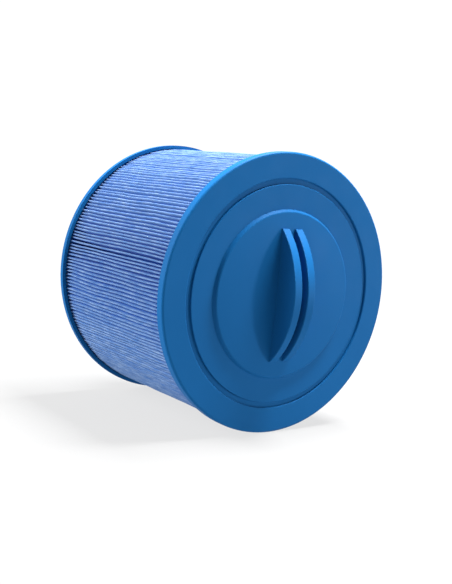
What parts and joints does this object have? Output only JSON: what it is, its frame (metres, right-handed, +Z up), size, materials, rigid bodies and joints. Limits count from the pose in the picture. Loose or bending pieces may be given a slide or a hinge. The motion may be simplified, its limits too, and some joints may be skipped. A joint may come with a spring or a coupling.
{
  "type": "pool and spa filter cartridge",
  "caption": "Pleated filter cartridge with cast end caps, an arched twin-blade hand grip on one end and a threaded outlet spigot on the other.",
  "frame": {"origin": "centre of the outlet at the outer face of the thread end's cap", "axes": "+Y along the cartridge's axis, out of the threaded outlet; +Z up across the axis, along the two grip blades; the cartridge lies on the rims of its caps"},
  "size_m": [0.211, 0.2024, 0.211],
  "materials": {
    "cast_cap": "smooth cast urethane, satin gloss",
    "moulded_plate": "smooth moulded plastic, glossy",
    "core_plastic": "plain moulded plastic",
    "filter_media": "bonded polyester nonwoven, calendered",
    "seam_adhesive": "set hot melt adhesive"
  },
  "bodies": {
    "root": {"top_end_cap": "cast_cap", "bottom_end_cap": "cast_cap", "handle_plate": "moulded_plate", "thread_plate": "moulded_plate", "core_tube": "core_plastic", "pleated_media": "filter_media", "seam_bead": "seam_adhesive"}
  },
  "joints": []
}
